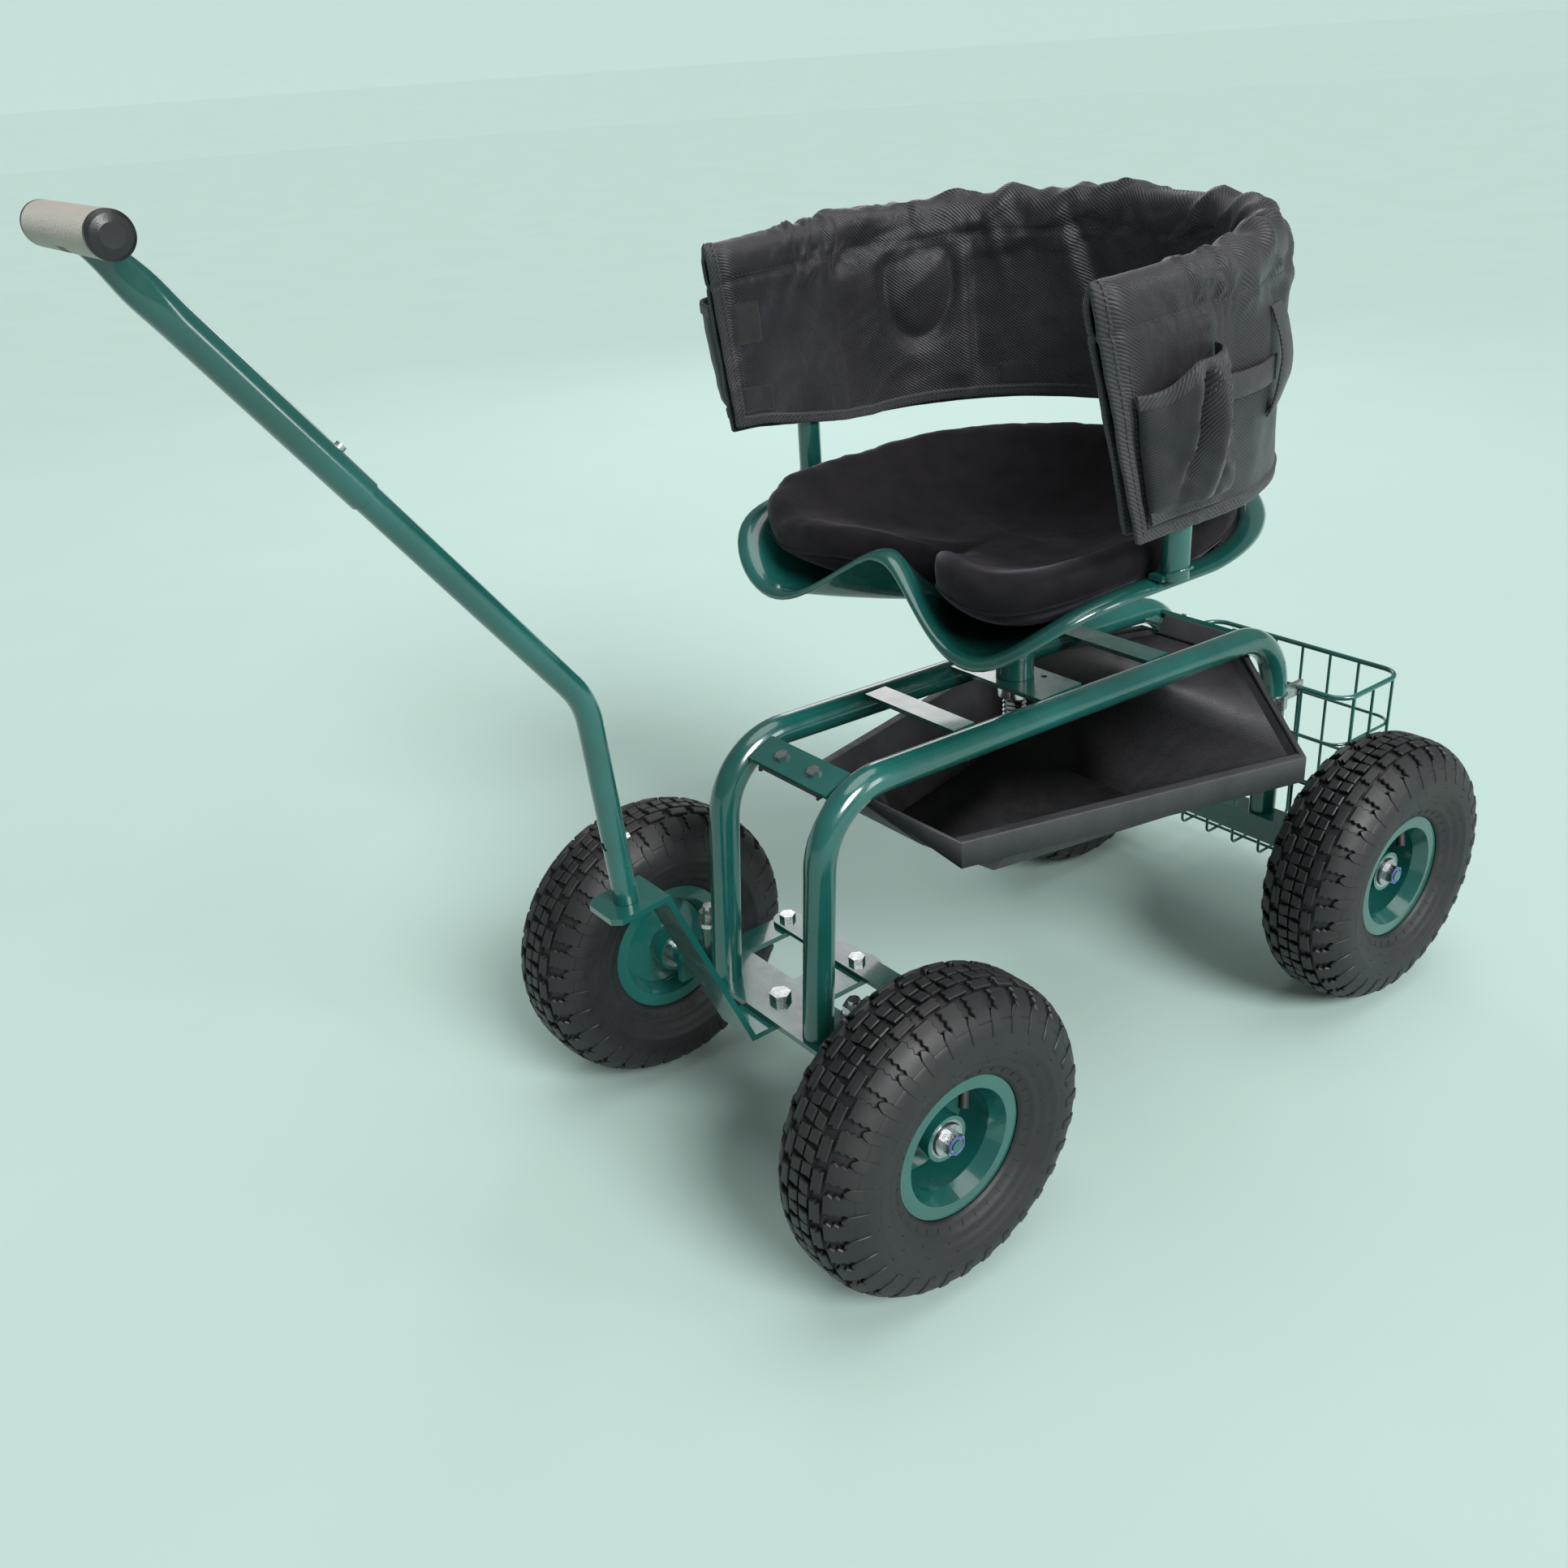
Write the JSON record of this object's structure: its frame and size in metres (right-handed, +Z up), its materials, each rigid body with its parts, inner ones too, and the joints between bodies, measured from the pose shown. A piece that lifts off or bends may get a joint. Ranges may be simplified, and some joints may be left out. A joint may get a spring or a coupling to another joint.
{
  "type": "rolling garden seat",
  "caption": "Four-wheeled garden work seat with a steered front axle and handle, a swivelling height-adjustable bucket seat with fabric back wrap and pockets, a tool tray and a wire basket.",
  "frame": {"origin": "centre of the bounding box's footprint, on the ground under the wheels", "axes": "+Z up, the steering handle and front axle towards -Y, +X to the sitter's left"},
  "size_m": [0.5142, 1.1222, 0.8158],
  "materials": {
    "frame_green": "glossy",
    "zinc_steel": "satin",
    "bearing_steel": "satin",
    "chrome": "polished",
    "tyre_rubber": "matte",
    "valve_rubber": "matte",
    "tray_plastic": "textured",
    "grip_foam": "matte",
    "cap_plastic": "satin",
    "bush_plastic": "matte",
    "cushion_fabric": "velour",
    "cover_fabric": "woven"
  },
  "bodies": {
    "frame": {"rail_left": "frame_green", "rail_right": "frame_green", "front_axle_plate": "frame_green", "rear_axle_beam": "frame_green", "front_cross_plate": "frame_green", "strap_front": "frame_green", "strap_rear": "frame_green", "seat_plate": "frame_green", "rear_bracket": "frame_green", "rear_wheel_nuts": "zinc_steel", "post_nut": "chrome", "tool_tray": "tray_plastic", "tray_bolts": "zinc_steel", "wire_basket": "frame_green", "basket_clips": "zinc_steel", "pivot_bolt": "zinc_steel"},
    "steering": {"steering_bracket": "frame_green", "steering_extension": "frame_green", "handle_tube": "frame_green", "handle_grip": "grip_foam", "grip_caps": "cap_plastic"},
    "tie_rod": {"tie_rod": "frame_green", "tie_rod_bolts": "zinc_steel"},
    "knuckle_left": {"knuckle_left": "frame_green", "kingpin_left": "zinc_steel", "front_nut_left": "zinc_steel"},
    "knuckle_right": {"knuckle_right": "frame_green", "kingpin_right": "zinc_steel", "front_nut_right": "zinc_steel"},
    "snap_button": {"snap_button": "zinc_steel"},
    "handle_button": {"handle_button": "zinc_steel"},
    "seat_post": {"threaded_post": "chrome"},
    "seat": {"swivel_bush": "bush_plastic", "seat_sleeve": "frame_green", "seat_pan": "frame_green", "seat_bolts": "zinc_steel", "seat_cushion": "cushion_fabric", "back_hoop": "frame_green", "hoop_posts": "frame_green", "back_cover": "cover_fabric", "pocket_left": "cover_fabric", "pocket_right": "cover_fabric"},
    "wheel_front_left": {"tyre_front_left": "tyre_rubber", "rim_front_left": "frame_green", "bearings_front_left": "bearing_steel", "valve_front_left": "valve_rubber"},
    "wheel_front_right": {"tyre_front_right": "tyre_rubber", "rim_front_right": "frame_green", "bearings_front_right": "bearing_steel", "valve_front_right": "valve_rubber"},
    "wheel_rear_left": {"tyre_rear_left": "tyre_rubber", "rim_rear_left": "frame_green", "bearings_rear_left": "bearing_steel", "valve_rear_left": "valve_rubber"},
    "wheel_rear_right": {"tyre_rear_right": "tyre_rubber", "rim_rear_right": "frame_green", "bearings_rear_right": "bearing_steel", "valve_rear_right": "valve_rubber"}
  },
  "joints": [
    {"name": "steer", "type": "hinge", "parent": "frame", "child": "steering", "pos_m": [0, -0.15112, 0.143], "axis": [0, 0, 1], "range_deg": [-30, 30]},
    {"name": "tie_rod_pivot", "type": "hinge", "parent": "steering", "child": "tie_rod", "pos_m": [0, -0.06712, 0.146], "axis": [0, 0, 1], "range_deg": [-31, 31]},
    {"name": "knuckle_left_turn", "type": "hinge", "parent": "frame", "child": "knuckle_left", "pos_m": [0.097, -0.15112, 0.143], "axis": [0, 0, 1], "range_deg": [-31, 31]},
    {"name": "knuckle_right_turn", "type": "hinge", "parent": "frame", "child": "knuckle_right", "pos_m": [-0.097, -0.15112, 0.143], "axis": [0, 0, 1], "range_deg": [-31, 31]},
    {"name": "wheel_front_left_spin", "type": "hinge", "parent": "knuckle_left", "child": "wheel_front_left", "pos_m": [0.176, -0.15511, 0.13], "axis": [1, 0, 0], "continuous": true},
    {"name": "wheel_front_right_spin", "type": "hinge", "parent": "knuckle_right", "child": "wheel_front_right", "pos_m": [-0.176, -0.15511, 0.13], "axis": [1, 0, 0], "continuous": true},
    {"name": "wheel_rear_left_spin", "type": "hinge", "parent": "frame", "child": "wheel_rear_left", "pos_m": [0.176, 0.41489, 0.13], "axis": [1, 0, 0], "continuous": true},
    {"name": "wheel_rear_right_spin", "type": "hinge", "parent": "frame", "child": "wheel_rear_right", "pos_m": [-0.176, 0.41489, 0.13], "axis": [1, 0, 0], "continuous": true},
    {"name": "seat_height", "type": "slide", "parent": "frame", "child": "seat_post", "axis": [0, 0, 1], "range_m": [0, 0.03]},
    {"name": "seat_swivel", "type": "hinge", "parent": "seat_post", "child": "seat", "pos_m": [0, 0.12489, 0.4], "axis": [0, 0, 1], "continuous": true},
    {"name": "snap_button_press", "type": "slide", "parent": "steering", "child": "snap_button", "axis": [0, -0.9972, -0.075], "range_m": [0, 0.0034], "stiffness_N_per_m": 900, "springref_m": -0.003},
    {"name": "handle_button_press", "type": "slide", "parent": "steering", "child": "handle_button", "axis": [0, -0.8007, -0.599], "range_m": [0, 0.0034], "stiffness_N_per_m": 900, "springref_m": -0.003}
  ],
  "couplings": [
    {"joint": "tie_rod_pivot", "follows": "steer", "ratio": -1},
    {"joint": "knuckle_left_turn", "follows": "steer", "ratio": 1},
    {"joint": "knuckle_right_turn", "follows": "steer", "ratio": 1}
  ]
}
